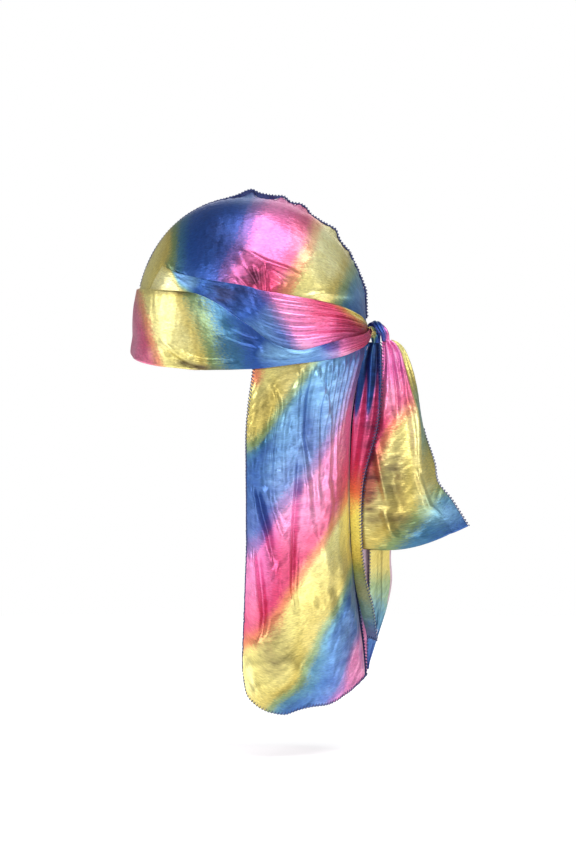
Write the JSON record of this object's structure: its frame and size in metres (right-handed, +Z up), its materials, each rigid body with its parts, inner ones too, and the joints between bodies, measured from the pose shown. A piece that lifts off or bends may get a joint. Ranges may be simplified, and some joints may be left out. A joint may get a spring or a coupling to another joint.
{
  "type": "durag",
  "caption": "Tied satin durag: a seamed cap with brow band and temple straps knotted at the nape, loose tie ends and a long cape hanging behind.",
  "frame": {"origin": "centre of the head opening, level with the lowest part of the brow hem, where the head goes in", "axes": "+Z up along the wearer's head, -Y the way the wearer faces, +X the wearer's left"},
  "size_m": [0.16, 0.2871, 0.4422],
  "materials": {
    "satin": "metallic polyester satin, dyed in soft bands of blue, pink and gold that repeat",
    "overlock_thread": "matt navy overlock thread along seams and free edges"
  },
  "bodies": {
    "root": {"crown_panel_left": "satin", "crown_panel_right": "satin", "crown_seam": "overlock_thread", "brow_band": "satin", "temple_strap_left": "satin", "temple_strap_right": "satin", "knot_core": "satin", "knot_loop": "satin", "flared_tail": "satin", "folded_tail": "satin", "cape_panel_left": "satin", "cape_panel_right": "satin", "cape_seam": "overlock_thread"}
  },
  "joints": []
}
